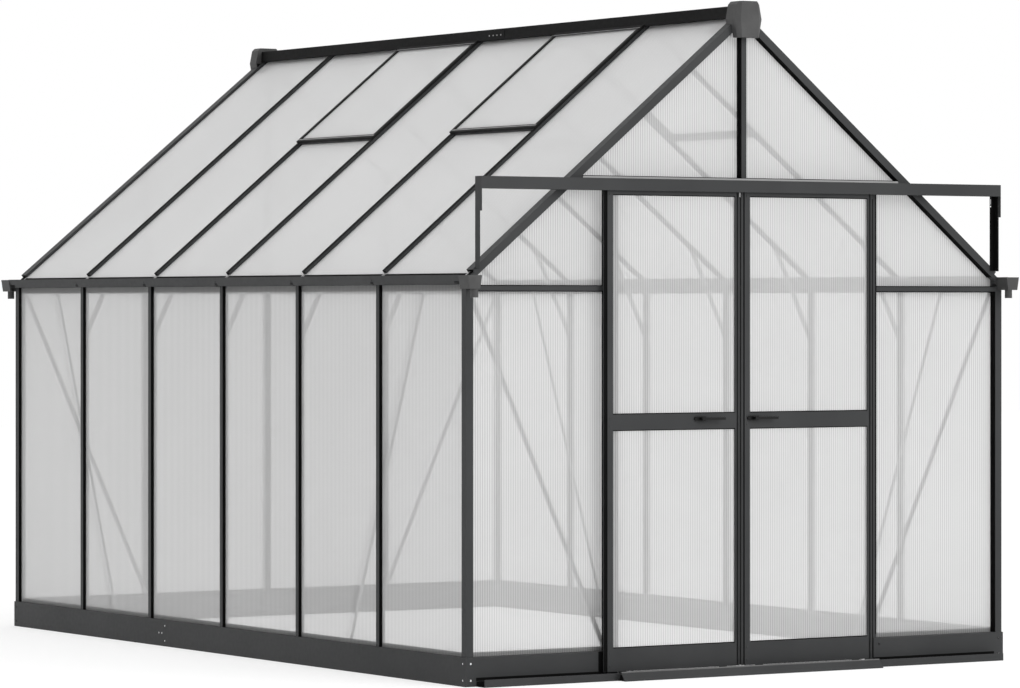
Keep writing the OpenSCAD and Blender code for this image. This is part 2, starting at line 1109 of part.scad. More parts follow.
module wall_panels() {
  x_out = face_x - side_reveal;
  for (i = [0:side_bays - 1]) {
    y0 = i == 0 ? front_y + 20 : bar_y[i - 1] + 2.25;
    y1 = i == side_bays - 1 ? back_y - 20 : bar_y[i] - 2.25;
    box(x_out - sheet, x_out, y0, y1, base_height, gutter_low - 1);
  }
}

module left_wall_panels() {
  color("#dfe3e4") placed()
    other_side()
      wall_panels();
}

module right_wall_panels() {
  color("#dfe3e4") placed()
    wall_panels();
}

module roof_panels() {
  for (i = [0:side_bays - 1]) {
    u0 = is_vent(i) ? sash_low - 27 : 14;
    intersection() {
      on_slope()
        translate([u0, bay_low(i), -side_reveal - sheet])
          cube([2000, bay_high(i) - bay_low(i), sheet]);
      box(8, half_w - 25, -10, base_length + 10, 0, 3000);
    }
  }
}

module left_roof_panels() {
  color("#dfe3e4") placed()
    other_side()
      roof_panels();
}

module right_roof_panels() {
  color("#dfe3e4") placed()
    roof_panels();
}

// Gable sheets between two upright bars, cut under the rafters.
module gable_panel(x0, x1, z0, z1) {
  y = front_y + gable_reveal;
  intersection() {
    box(x0, x1, y, y + sheet, z0, z1);
    under_rafters(y - 1, y + 10, 20);
  }
}

module gable_side_panels() {
  mid = eave_bar_mid;
  gutter_inner = -half_w + 39;
  gable_panel(-face_x + 20, -jamb_x - 2.25, base_height, mid - 2.25);
  gable_panel(gutter_inner, -jamb_x - 2.25, mid + 2.25, 3000);
}

module front_wall_panels() {
  mid = (header_low + header_high) / 2;
  color("#dfe3e4") placed()
    intersection() {
      union() {
        gable_side_panels();
        other_side()
          gable_side_panels();
      }
      box(-half_w, half_w, 0, 100, 0, mid - 2.25);
    }
}

module front_gable_panels() {
  mid = (header_low + header_high) / 2;
  color("#dfe3e4") placed() {
    gable_panel(-800, -2.25, mid + 2.25, 3000);
    gable_panel(2.25, 800, mid + 2.25, 3000);
  }
}

module back_wall_panels() {
  mid = eave_bar_mid;
  color("#dfe3e4") placed()
    other_end()
      for (s = [0, 1])
        mirror([s, 0, 0]) {
          gable_side_panels();
          gable_panel(2.25, jamb_x - 2.25, base_height, mid - 2.25);
          gable_panel(2.25, jamb_x - 2.25, mid + 2.25, 3000);
        }
}

base_left();
base_right();
base_back();
base_front_left();
base_front_right();
corner_posts();
left_wall_bars();
right_wall_bars();
back_wall_bars();
door_jambs();
king_post();
left_rafters();
right_rafters();
front_gable_rafters();
back_gable_rafters();
ridge_beam();
ridge_end_caps();
left_gutter();
right_gutter();
gutter_outlets();
gable_eave_bars();
door_header();
knee_braces();
wall_braces();
door_rail();
rail_end_posts();
door_track();
door_threshold();
left_door_frame();
left_door_panels();
left_door_handle();
right_door_frame();
right_door_panels();
right_door_handle();
roof_vents();
roof_vent_bars();
roof_vent_panels();
left_wall_panels();
right_wall_panels();
left_roof_panels();
right_roof_panels();
back_wall_panels();
front_wall_panels();
front_gable_panels();
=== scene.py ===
"""Looks of the polycarbonate greenhouse: finishes, seals, screws, studio and camera."""

import json
import math

import bmesh
import bpy
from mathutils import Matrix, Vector


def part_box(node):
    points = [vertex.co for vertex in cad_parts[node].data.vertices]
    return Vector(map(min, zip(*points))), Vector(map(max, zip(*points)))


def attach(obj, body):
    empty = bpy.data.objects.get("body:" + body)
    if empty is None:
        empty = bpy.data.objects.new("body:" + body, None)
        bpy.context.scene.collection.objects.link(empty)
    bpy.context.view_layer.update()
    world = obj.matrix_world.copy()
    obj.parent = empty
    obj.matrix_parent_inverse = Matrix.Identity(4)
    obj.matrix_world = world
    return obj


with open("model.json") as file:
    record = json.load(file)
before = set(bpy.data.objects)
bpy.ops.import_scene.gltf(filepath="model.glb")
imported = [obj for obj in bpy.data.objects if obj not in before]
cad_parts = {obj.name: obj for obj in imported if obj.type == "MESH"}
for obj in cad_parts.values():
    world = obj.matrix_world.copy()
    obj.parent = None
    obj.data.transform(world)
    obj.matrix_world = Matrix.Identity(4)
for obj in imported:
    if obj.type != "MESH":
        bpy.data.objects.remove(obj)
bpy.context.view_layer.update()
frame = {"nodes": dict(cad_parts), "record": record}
NODES = frame["nodes"]

X = Vector((1, 0, 0))
Y = Vector((0, 1, 0))
Z = Vector((0, 0, 1))


# ---------- measures repeated from the source, in metres ----------

ROOF_SLOPE = math.radians(39.05)
RIDGE_CREST = 0.022  # crest of the ridge beam above the apex of the rafter faces
RAFTER_END = 1.5246  # lower end of the rafter caps, down the slope from the apex
SHEET_END = 1.190  # lower edge of the roof sheets, level distance from the ridge
SIDE_DEPTH = 0.012  # face of a side bar or rafter to its sheet
GABLE_DEPTH = 0.026  # face of a gable bar to its sheet
POST_FACE = 0.030  # width of the corner posts
GABLE_RAFTER_WIDTH = 0.042  # gable rafter, along the ridge
GABLE_RAFTER_DEPTH = 0.029  # gable rafter, square to the slope
JAMB = 0.600  # middle of the jambs and of the outer back uprights, from the ridge line
BAR_COUNT = 5
VENT_BAYS = (1, 3)  # bays with a vent, counted from 0 at the front
VENT_FOOT = 0.676  # where the rafter shade covers begin beside a vent, down the slope
SASH_HEIGHT = 0.010
MID_RAIL = (0.908, 0.965)  # lower and upper edge of the middle rail of the doors
LAP = 0.0135  # lapping strip on the left edge of a leaf
STILE_LEFT = 0.0235  # left stile of a leaf, beyond its lapping strip
STILE_RIGHT = 0.020
RAMP_TOP = 0.033
SLOT_FOOT = 1.736  # lower end of the slot in the end posts of the door rail
SLOT_SHADE_TOP = 1.779


# ---------- measures taken from the frame ----------


def low(node):
    """Corner of the node's box with the lowest coordinates."""
    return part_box(node)[0]


def high(node):
    """Corner of the node's box with the highest coordinates."""
    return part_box(node)[1]


FRONT_FACE = low("base_front_left").y
BACK_FACE = high("base_back").y
BASE_TOP = high("base_left").z
SIDE_FACE = high("right_wall_bars").x
GABLE_FRONT = low("king_post").y
GABLE_BACK = high("back_wall_bars").y
EAVE = high("left_wall_bars").z
HEADER = (low("door_header").z, high("door_header").z)
EAVE_BAR = (low("gable_eave_bars").z, high("gable_eave_bars").z)
RIDGE_SIDE = high("ridge_beam").x
APEX = high("ridge_beam").z - RIDGE_CREST
LEAF_FRONT = low("left_door_frame").y

BAR_FACE = high("king_post").x - low("king_post").x
HALF_BAR = BAR_FACE / 2
BAR_STEP = (high("left_wall_bars").y - low("left_wall_bars").y - BAR_FACE) / (BAR_COUNT - 1)
BARS = [low("left_wall_bars").y + HALF_BAR + i * BAR_STEP for i in range(BAR_COUNT)]

SHADE_GASKET_FOOT = BASE_TOP - 0.014
JAMB_EDGE = JAMB + HALF_BAR


def slope_point(side, u, y, w):
    """Point u down the roof slope and w above the rafter faces; side is 1 or -1."""
    x = u * math.cos(ROOF_SLOPE) + w * math.sin(ROOF_SLOPE)
    z = APEX - u * math.sin(ROOF_SLOPE) + w * math.cos(ROOF_SLOPE)
    return Vector((side * x, y, z))


def slope_up(side):
    """Direction square to the roof slope, away from the inside."""
    return Vector((side * math.sin(ROOF_SLOPE), 0, math.cos(ROOF_SLOPE)))


def slope_down(side):
    """Direction down the roof slope."""
    return slope_point(side, 1, 0, 0) - slope_point(side, 0, 0, 0)


def rafter_height(x):
    """Height of the underside of the gable rafters at x."""
    return APEX - GABLE_RAFTER_DEPTH / math.cos(ROOF_SLOPE) - abs(x) * math.tan(ROOF_SLOPE)


def rafter_reach(z):
    """Distance from the ridge line to the underside of the gable rafters at height z."""
    return (APEX - GABLE_RAFTER_DEPTH / math.cos(ROOF_SLOPE) - z) / math.tan(ROOF_SLOPE)


# ---------- node helpers ----------


def new_material(name):
    material = bpy.data.materials.new(name)
    material.use_nodes = True
    tree = material.node_tree
    tree.nodes.clear()
    output = tree.nodes.new("ShaderNodeOutputMaterial")
    return material, tree, output


def add(tree, kind, **settings):
    node = tree.nodes.new(kind)
    for key, value in settings.items():
        setattr(node, key, value)
    return node


def grey(value):
    return (value, value, value, 1.0)


def ramp(tree, source, stops):
    """Colour ramp over source; stops holds (place, colour)."""
    node = add(tree, "ShaderNodeValToRGB")
    elements = node.color_ramp.elements
    while len(elements) > len(stops):
        elements.remove(elements[-1])
    while len(elements) < len(stops):
        elements.new(1.0)
    for element, (place, tone) in zip(elements, stops):
        element.position = place
        element.color = tone
    tree.links.new(source, node.inputs[0])
    return node.outputs["Color"]


def drift(tree, source, first, last):
    """Colour that drifts from first to last over the middle of source."""
    return ramp(tree, source, [(0.3, first), (0.7, last)])


def noise(tree, scale, detail=3.0, coords=None, stretch=(1, 1, 1)):
    if coords is None:
        coords = add(tree, "ShaderNodeTexCoord").outputs["Object"]
    mapping = add(tree, "ShaderNodeMapping")
    mapping.inputs["Scale"].default_value = stretch
    tree.links.new(coords, mapping.inputs["Vector"])
    node = add(tree, "ShaderNodeTexNoise")
    node.inputs["Scale"].default_value = scale
    node.inputs["Detail"].default_value = detail
    tree.links.new(mapping.outputs["Vector"], node.inputs["Vector"])
    return node.outputs["Fac"]


def uneven_gloss(tree, shader, scale, middle, spread):
    """Roughness that wanders by spread to both sides of middle."""
    gloss = drift(tree, noise(tree, scale), grey(middle - spread), grey(middle + spread))
    tree.links.new(gloss, shader.inputs["Roughness"])


def bump(tree, height, strength, distance):
    node = add(tree, "ShaderNodeBump")
    node.inputs["Strength"].default_value = strength
    node.inputs["Distance"].default_value = distance
    tree.links.new(height, node.inputs["Height"])
    return node.outputs["Normal"]


def mix_shaders(tree, share, first, second):
    """Mix of two shaders; share is a number or a socket and belongs to the second."""
    mix = add(tree, "ShaderNodeMixShader")
    if isinstance(share, float):
        mix.inputs[0].default_value = share
    else:
        tree.links.new(share, mix.inputs[0])
    tree.links.new(first, mix.inputs[1])
    tree.links.new(second, mix.inputs[2])
    return mix.outputs[0]


# ---------- materials ----------

FLUTE_PITCH = 0.010
WAVE_PERIOD = 0.314  # period of Blender's band wave at a scale of 1
SHEET_GLOW = 0.9
CLEAR_TONE = 0.93
WALL_CLEARNESS = (0.46, 0.57, 0.64)
ROOF_CLEARNESS = (0.10, 0.20, 0.30)


def coated_metal(name, dark, pale, roughness, shine):
    """Satin powder coat: slight tone drift, fine orange peel and uneven gloss."""
    material, tree, output = new_material(name)
    shader = add(tree, "ShaderNodeBsdfPrincipled")
    tone = drift(tree, noise(tree, 3.0, 4.0), (*dark, 1), (*pale, 1))
    tree.links.new(tone, shader.inputs["Base Color"])
    uneven_gloss(tree, shader, 60.0, roughness, 0.06)
    shader.inputs["Specular IOR Level"].default_value = shine
    peel = noise(tree, 900.0, 2.0)
    tree.links.new(bump(tree, peel, 0.12, 0.0002), shader.inputs["Normal"])
    tree.links.new(shader.outputs[0], output.inputs["Surface"])
    return material


def zinc_metal(name, dark, pale):
    """Zinc coated steel: blotchy grain and a soft metal shine."""
    material, tree, output = new_material(name)
    shader = add(tree, "ShaderNodeBsdfPrincipled")
    cells = add(tree, "ShaderNodeTexVoronoi")
    cells.inputs["Scale"].default_value = 140.0
    tree.links.new(add(tree, "ShaderNodeTexCoord").outputs["Object"], cells.inputs["Vector"])
    tone = ramp(tree, cells.outputs["Distance"], [(0.1, grey(dark)), (0.8, grey(pale))])
    tree.links.new(tone, shader.inputs["Base Color"])
    gloss = drift(tree, noise(tree, 40.0), grey(0.35), grey(0.5))
    tree.links.new(gloss, shader.inputs["Roughness"])
    shader.inputs["Metallic"].default_value = 0.6
    tree.links.new(shader.outputs[0], output.inputs["Surface"])
    return material


def dark_plastic(name, value, roughness, shine=0.3):
    """Moulded plastic or rubber: fine grain and a slightly uneven tone."""
    material, tree, output = new_material(name)
    shader = add(tree, "ShaderNodeBsdfPrincipled")
    tone = drift(tree, noise(tree, 12.0), grey(value * 0.85), grey(value * 1.2))
    tree.links.new(tone, shader.inputs["Base Color"])
    uneven_gloss(tree, shader, 90.0, roughness, 0.05)
    shader.inputs["Specular IOR Level"].default_value = shine
    grain = noise(tree, 1400.0, 2.0)
    tree.links.new(bump(tree, grain, 0.15, 0.00015), shader.inputs["Normal"])
    tree.links.new(shader.outputs[0], output.inputs["Surface"])
    return material


def brush_hair(name, value):
    """Dense seal brush: fine dark hairs across the strip."""
    material, tree, output = new_material(name)
    shader = add(tree, "ShaderNodeBsdfPrincipled")
    hairs = noise(tree, 700.0, 2.0, stretch=(0.2, 1.0, 1.0))
    tone = ramp(tree, hairs, [(0.35, grey(value * 0.5)), (0.65, grey(value * 1.5))])
    tree.links.new(tone, shader.inputs["Base Color"])
    shader.inputs["Roughness"].default_value = 0.85
    shader.inputs["Specular IOR Level"].default_value = 0.1
    tree.links.new(bump(tree, hairs, 0.5, 0.0006), shader.inputs["Normal"])
    tree.links.new(shader.outputs[0], output.inputs["Surface"])
    return material


def twin_wall(name, pitch_axis, tone, clearness):
    """Milky twin-wall sheet: light passes softly and the ribs show as fine stripes.

    The ribs repeat along pitch_axis, and the see-through share runs through the three
    values of clearness from the low to the high side of their wave.
    """
    material, tree, output = new_material(name)
    coords = add(tree, "ShaderNodeTexCoord").outputs["Object"]
    wave = add(tree, "ShaderNodeTexWave", wave_type="BANDS", bands_direction=pitch_axis, wave_profile="SIN")
    wave.inputs["Scale"].default_value = WAVE_PERIOD / FLUTE_PITCH
    wave.inputs["Distortion"].default_value = 0.0
    tree.links.new(coords, wave.inputs["Vector"])
    ribs = wave.outputs["Fac"]

    skin = add(tree, "ShaderNodeBsdfPrincipled")
    skin.inputs["Roughness"].default_value = 0.35
    skin.inputs["Specular IOR Level"].default_value = 0.3
    haze = drift(tree, noise(tree, 2.2, 2.0, coords), grey(tone - 0.02), grey(tone + 0.02))
    tree.links.new(haze, skin.inputs["Base Color"])
    tree.links.new(bump(tree, ribs, 0.06, 0.0004), skin.inputs["Normal"])

    glow = add(tree, "ShaderNodeBsdfTranslucent")
    glow.inputs["Color"].default_value = grey(SHEET_GLOW)
    clear = add(tree, "ShaderNodeBsdfTransparent")
    clear.inputs["Color"].default_value = grey(CLEAR_TONE)

    milk = mix_shaders(tree, 0.5, skin.outputs[0], glow.outputs[0])
    share = ramp(tree, ribs, [(0.5 * i, grey(clear_share)) for i, clear_share in enumerate(clearness)])
    sheet = mix_shaders(tree, share, milk, clear.outputs[0])
    tree.links.new(sheet, output.inputs["Surface"])
    return material


FRAME_METAL = coated_metal("frame_coat", (0.036, 0.037, 0.038), (0.046, 0.047, 0.048), 0.45, 0.12)
RIDGE_METAL = coated_metal("ridge_coat", (0.006, 0.006, 0.006), (0.010, 0.010, 0.010), 0.6, 0.08)
# Painted shade: dark coat of the strips that darken the top faces of the rafters.
SHADE_COVER_METAL = coated_metal("painted_shade_cover_coat", (0.010, 0.010, 0.010), (0.015, 0.015, 0.015), 0.7, 0.04)
SASH_METAL = coated_metal("sash_coat", (0.010, 0.010, 0.010), (0.016, 0.016, 0.016), 0.6, 0.08)
# Pale coat: painted highlight on the top faces of the vent sash rails; also used for the pale strip on the
# header.
PALE_STRIP_METAL = coated_metal("pale_strip_coat", (0.28, 0.28, 0.28), (0.34, 0.34, 0.34), 0.4, 0.3)
# Painted highlight: pale coat of the strip along the crest of the ramp.
CREST_HIGHLIGHT_METAL = coated_metal("painted_crest_highlight", (0.10, 0.10, 0.10), (0.14, 0.14, 0.14), 0.4, 0.2)
BRACE_METAL = zinc_metal("zinc_strip", 0.25, 0.42)
SCREW_METAL = zinc_metal("bright_screw", 0.45, 0.6)
CAP_PLASTIC = dark_plastic("cap_plastic", 0.055, 0.55)
LEVER_PLASTIC = dark_plastic("lever_plastic", 0.006, 0.35, 0.2)
# Black rubber; most pieces made of it also paint shade: gaskets, tape, strips, liners and closures.
RUBBER_AND_SHADE = dark_plastic("seal_rubber_and_painted_shade", 0.004, 0.8, 0.05)
BRUSH = brush_hair("seal_brush", 0.008)
SIDE_SHEET = twin_wall("twin_wall_side", "Y", 0.90, WALL_CLEARNESS)
GABLE_SHEET = twin_wall("twin_wall_gable", "X", 0.87, WALL_CLEARNESS)
ROOF_SHEET = twin_wall("twin_wall_roof", "Y", 0.90, ROOF_CLEARNESS)

FINISH = {
    "frame_bars": FRAME_METAL,
    "ridge_metal": RIDGE_METAL,
    "moulded_caps": CAP_PLASTIC,
    "inner_braces": BRACE_METAL,
    "door_levers": LEVER_PLASTIC,
}
SHEETS = {
    "left_wall_panels": SIDE_SHEET,
    "right_wall_panels": SIDE_SHEET,
    "left_roof_panels": ROOF_SHEET,
    "right_roof_panels": ROOF_SHEET,
    "roof_vent_panels": ROOF_SHEET,
}
ROUNDED = {
    "ridge_end_caps": 0.0015,
    "gutter_outlets": 0.001,
    "left_door_handle": 0.001,
    "right_door_handle": 0.001,
}


def round_edges(obj, width):
    bevel = obj.modifiers.new("edge_round", "BEVEL")
    bevel.width = width
    bevel.segments = 2
    bevel.limit_method = "ANGLE"
    bevel.angle_limit = math.radians(25)


def dress_nodes():
    """Give every node of the source its finish, and the moulded ones rounded edges."""
    for part in frame["record"]["subparts"]:
        name = part["node"]
        if part["material_slot"] == "wall_sheets":
            finish = SHEETS.get(name, GABLE_SHEET)
        elif name == "roof_vents":
            finish = SASH_METAL
        else:
            finish = FINISH[part["material_slot"]]
        mesh = NODES[name].data
        mesh.materials.clear()
        mesh.materials.append(finish)
        if name in ROUNDED:
            round_edges(NODES[name], ROUNDED[name])


dress_nodes()


# ---------- mesh helpers ----------


def piece(name, build, material, body="greenhouse"):
    """Build one named piece and let it ride on a body."""
    bm = bmesh.new()
    build(bm)
    bmesh.ops.recalc_face_normals(bm, faces=bm.faces)
    mesh = bpy.data.meshes.new(name)
    bm.to_mesh(mesh)
    bm.free()
    mesh.materials.append(material)
    obj = bpy.data.objects.new(name, mesh)
    bpy.context.collection.objects.link(obj)
    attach(obj, body)


def prism(bm, section, start, end, across, up):
    """Sweep a closed section from start to end; its points lie along across and up."""
    rings = []
    for centre in (start, end):
        rings.append([bm.verts.new(centre + across * a + up * b) for a, b in section])
    count = len(section)
    for i in range(count):
        j = (i + 1) % count
        bm.faces.new((rings[0][i], rings[0][j], rings[1][j], rings[1][i]))
    bm.faces.new(list(reversed(rings[0])))
    bm.faces.new(rings[1])


def level_strip(bm, section, x0, x1, y, z):
    """Strip along X; its section lies in Y and Z."""
    prism(bm, section, Vector((x0, y, z)), Vector((x1, y, z)), Y, Z)


def upright_strip(bm, section, x, y, z0, z1):
    """Strip along Z; its section lies in X and Y."""
    prism(bm, section, Vector((x, y, z0)), Vector((x, y, z1)), X, Y)


def rafter_strip(bm, section, side, y, u0, u1):
    """Strip down the roof slope; its section lies along the ridge and off the slope."""
    prism(bm, section, slope_point(side, u0, y, 0), slope_point(side, u1, y, 0), Y, slope_up(side))


def purlin_strip(bm, section, side, u, w, y0, y1):
    """Strip along the ridge; its section lies down the slope and off it."""
    start = slope_point(side, u, y0, w)
    prism(bm, section, start, start + Y * (y1 - y0), slope_down(side), slope_up(side))


def shade_gasket(bm, start, end, across, up, depth):
    """Wedge seal: thin black skin on the side of a bar with a foot that laps on the sheet; its black also
    paints the shade on the bar side.
    """
    section = [(0.0, 0.0), (0.0034, 0.0), (0.0034, 0.0010), (0.0016, 0.0024), (0.0009, 0.004),
               (0.0007, depth - 0.0016), (0.0, depth - 0.0010)]
    prism(bm, section, start, end, across, up)


def ring_of(bm, centre, axis, radius, sides):
    side = axis.orthogonal().normalized()
    other = axis.cross(side)
    points = []
    for i in range(sides):
        angle = 2 * math.pi * i / sides
        points.append(bm.verts.new(centre + (side * math.cos(angle) + other * math.sin(angle)) * radius))
    return points


def lathe(bm, centre, axis, profile, sides):
    """Closed turned piece along axis; profile holds (height, radius) from foot to crown."""
    rings = [ring_of(bm, centre + axis * h, axis, r, sides) for h, r in profile]
    for lower, upper in zip(rings, rings[1:]):
        for i in range(sides):
            j = (i + 1) % sides
            bm.faces.new((lower[i], lower[j], upper[j], upper[i]))
    bm.faces.new(list(reversed(rings[0])))
    bm.faces.new(rings[-1])


def hex_bolt(bm, centre, axis, size):
    """Washer and bevelled hexagon head that stand on a face."""
    lathe(bm, centre, axis, [(0.0, size * 0.85), (0.0008, size * 0.85), (0.0012, size * 0.78)], 20)
    lathe(bm, centre, axis, [(0.0010, size * 0.5), (0.0044, size * 0.5), (0.0054, size * 0.42)], 6)


def pan_screw(bm, centre, axis, radius):
    """Low domed screw head."""
    profile = [(0.0, radius), (0.0006, radius), (0.0014, radius * 0.86), (0.0019, radius * 0.55),
               (0.0021, radius * 0.2)]
    lathe(bm, centre, axis, profile, 14)


# ---------- gaskets beside the bars and on the rafters, partly painted shade ---


# Black seals on both sides of every wall bar; their black also paints the shade on the bar sides.
def side_wall_shade_gaskets(bm):
    ends = (GABLE_FRONT + POST_FACE, GABLE_BACK - POST_FACE)
    spots = [(y + s * HALF_BAR, s) for y in BARS for s in (-1, 1)] + [(ends[0], 1), (ends[1], -1)]
    for side in (-1, 1):
        sheet_face = side * (SIDE_FACE - SIDE_DEPTH)
        for y, s in spots:
            foot = Vector((sheet_face, y, SHADE_GASKET_FOOT))
            shade_gasket(bm, foot, Vector((sheet_face, y, EAVE)), Y * s, X * side, SIDE_DEPTH)


def rafter_shade_covers(bm):
    """Dark cover strips clipped on the rafters, painted shade that darkens their top faces; beside the vents
    they start lower down.
    """
    start = (RIDGE_SIDE + 0.001) / math.cos(ROOF_SLOPE)
    half = HALF_BAR
    section = [(-half, 0.0), (half, 0.0), (half, 0.0004), (half - 0.0006, 0.0009), (-half + 0.0006, 0.0009),
               (-half, 0.0004)]
    for side in (-1, 1):
        for i, y in enumerate(BARS):
            beside_vent = i in VENT_BAYS or i + 1 in VENT_BAYS
            rafter_strip(bm, section, side, y, VENT_FOOT if beside_vent else start, RAFTER_END - 0.001)


def rafter_plugs(bm):
    """Rubber plugs in the open lower ends of the rafter caps."""
    half = HALF_BAR - 0.0025
    section = [(-half, -0.0025), (-half, -SIDE_DEPTH), (half, -SIDE_DEPTH), (half, -0.0025),
               (half - 0.001, -0.0022), (-half + 0.001, -0.0022)]
    for side in (-1, 1):
        for y in BARS:
            rafter_strip(bm, section, side, y, RAFTER_END - 0.006, RAFTER_END - 0.0005)


def sheet_end_shade_tape(bm):
    """Black tape that closes the flutes at the lower edge of the roof sheets; its black also paints the shade
    in the gap under the gutters.
    """
    section = [(-0.011, 0.0), (0.0, 0.0), (0.0, 0.0003), (-0.010, 0.0006), (-0.011, 0.0004)]
    edges = [y + s * HALF_BAR for y in BARS for s in (-1, 1)]
    edges = [GABLE_FRONT + GABLE_RAFTER_WIDTH] + edges + [GABLE_BACK - GABLE_RAFTER_WIDTH]
    foot = SHEET_END / math.cos(ROOF_SLOPE) + SIDE_DEPTH * math.tan(ROOF_SLOPE)
    for side in (-1, 1):
        for y0, y1 in zip(edges[::2], edges[1::2]):
            purlin_strip(bm, section, side, foot, -SIDE_DEPTH, y0, y1)


def upright_shade_gasket(bm, x, s, face, out, z0, z1):
    """Seal beside an upright gable bar, whose black also paints the shade on the bar side; s points off the
    bar, out off the gable.
    """
    y = face - out * GABLE_DEPTH
    shade_gasket(bm, Vector((x, y, z0)), Vector((x, y, z1)), X * s, Y * out, GABLE_DEPTH)


def level_shade_gasket(bm, x0, x1, z, s, face, out):
    """Seal along a level gable bar, whose black also paints the shade on the bar side; s points off the bar,
    out off the gable.
    """
    y = face - out * GABLE_DEPTH
    shade_gasket(bm, Vector((x0, y, z)), Vector((x1, y, z)), Z * s, Y * out, GABLE_DEPTH)


def gable_edge_shade_gaskets(bm, face, out):
    """Gaskets that both gables share: corner posts, eave bars and rafters; their black also paints the shade
    on the bar sides.
    """
    post = SIDE_FACE - POST_FACE
    below_ridge = 0.030
    y = face - out * GABLE_DEPTH
    for side in (-1, 1):
        upright_shade_gasket(bm, side * post, -side, face, out, SHADE_GASKET_FOOT, EAVE_BAR[0])
        x0, x1 = sorted((side * JAMB_EDGE, side * post))
        level_shade_gasket(bm, x0, x1, EAVE_BAR[0], -1, face, out)
        level_shade_gasket(bm, x0, x1, EAVE_BAR[1], 1, face, out)
        start = slope_point(side, below_ridge, y, -GABLE_RAFTER_DEPTH)
        stop = slope_point(side, post / math.cos(ROOF_SLOPE), y, -GABLE_RAFTER_DEPTH)
        shade_gasket(bm, start, stop, -slope_up(side), Y * out, GABLE_DEPTH)


def front_gable_shade_gaskets(bm):
    gable_edge_shade_gaskets(bm, GABLE_FRONT, -1)
    for s in (-1, 1):
        upright_shade_gasket(bm, s * HALF_BAR, s, GABLE_FRONT, -1, HEADER[1], rafter_height(HALF_BAR))
        upright_shade_gasket(bm, s * JAMB_EDGE, s, GABLE_FRONT, -1, SHADE_GASKET_FOOT, EAVE_BAR[0])
        upright_shade_gasket(bm, s * JAMB_EDGE, s, GABLE_FRONT, -1, EAVE_BAR[1], HEADER[0])
        x0, x1 = sorted((s * JAMB_EDGE, s * rafter_reach(HEADER[0])))
        level_shade_gasket(bm, x0, x1, HEADER[0], -1, GABLE_FRONT, -1)
    reach = rafter_reach(HEADER[1])
    level_shade_gasket(bm, -reach, reach, HEADER[1], 1, GABLE_FRONT, -1)


def back_gable_shade_gaskets(bm):
    gable_edge_shade_gaskets(bm, GABLE_BACK, 1)
    for x in (-JAMB, 0.0, JAMB):
        for s in (-1, 1):
            edge = x + s * HALF_BAR
            upright_shade_gasket(bm, edge, s, GABLE_BACK, 1, SHADE_GASKET_FOOT, EAVE_BAR[0])
            upright_shade_gasket(bm, edge, s, GABLE_BACK, 1, EAVE_BAR[1], rafter_height(edge) - 0.002)
    for s in (-1, 1):
        x0, x1 = sorted((s * HALF_BAR, s * (JAMB - HALF_BAR)))
        level_shade_gasket(bm, x0, x1, EAVE_BAR[0], -1, GABLE_BACK, 1)
        level_shade_gasket(bm, x0, x1, EAVE_BAR[1], 1, GABLE_BACK, 1)


piece("side_wall_shade_gaskets", side_wall_shade_gaskets, RUBBER_AND_SHADE)
piece("rafter_shade_covers", rafter_shade_covers, SHADE_COVER_METAL)
piece("rafter_plugs", rafter_plugs, RUBBER_AND_SHADE)
piece("sheet_end_shade_tape", sheet_end_shade_tape, RUBBER_AND_SHADE)
piece("front_gable_shade_gaskets", front_gable_shade_gaskets, RUBBER_AND_SHADE)
piece("back_gable_shade_gaskets", back_gable_shade_gaskets, RUBBER_AND_SHADE)


# ---------- door leaves ----------

LEAF_FRAMES = {"left_door": "left_door_frame", "right_door": "right_door_frame"}
RAIL_SCREWS = (0.050, 0.095, MID_RAIL[0] + 0.014, MID_RAIL[1] - 0.014, 1.766)
STILE_BACK_STEP = 0.004  # front of a leaf to the face that carries its brush and the lap seal, whose black also paints shade


def leaf_shade_gaskets(node, sheets):
    """Gaskets along the left stile and the rails, round both lights of a leaf; their black also paints the
    shade beside the stile and rails.
    """
    x0 = low(node).x + LAP + STILE_LEFT
    x1 = high(node).x - STILE_RIGHT
    sheet_face = low(sheets).y
    depth = sheet_face - LEAF_FRONT
    lights = [(low(sheets).z - 0.001, MID_RAIL[0]), (MID_RAIL[1], high(sheets).z + 0.001)]

    def build(bm):
        for z0, z1 in lights:
            shade_gasket(bm, Vector((x0, sheet_face, z0)), Vector((x0, sheet_face, z1)), X, -Y, depth)
            for z, s in ((z0, 1), (z1, -1)):
                shade_gasket(bm, Vector((x0, sheet_face, z)), Vector((x1, sheet_face, z)), Z * s, -Y, depth)
    return build


def leaf_brush(node):
    """Brush seal on the right edge of a leaf: narrow holder and a tapered row of hair."""
    section = [(0.0, -0.001), (0.002, -0.001), (0.009, 0.0005), (0.009, 0.0034), (0.002, 0.005), (0.0, 0.005)]
    z0 = low(node).z + 0.020
    z1 = high(node).z - 0.050

    def build(bm):
        upright_strip(bm, section, high(node).x, LEAF_FRONT + STILE_BACK_STEP, z0, z1)
    return build


def leaf_screws(node):
    """Screws through the stiles into the ends of the rails."""
    left = low(node).x + LAP + 0.010
    right = high(node).x - 0.003

    def build(bm):
        for z in RAIL_SCREWS:
            pan_screw(bm, Vector((left, LEAF_FRONT, z)), -Y, 0.0034)
            pan_screw(bm, Vector((right, LEAF_FRONT, z)), -Y, 0.0022)
    return build


def leaf_lap_shade_seal(bm):
    """Rubber skin over the lapping strip on the outer edge of the left leaf; its black also paints the shade
    on that strip.
    """
    width = LAP - 0.0002
    section = [(0.0, 0.0), (width, 0.0), (width, -0.0006), (0.001, -0.0010), (0.0, -0.0006)]
    foot = low("left_door_frame")
    z1 = high("left_door_frame").z - 0.032
    upright_strip(bm, section, foot.x, LEAF_FRONT + STILE_BACK_STEP, foot.z + 0.020, z1)


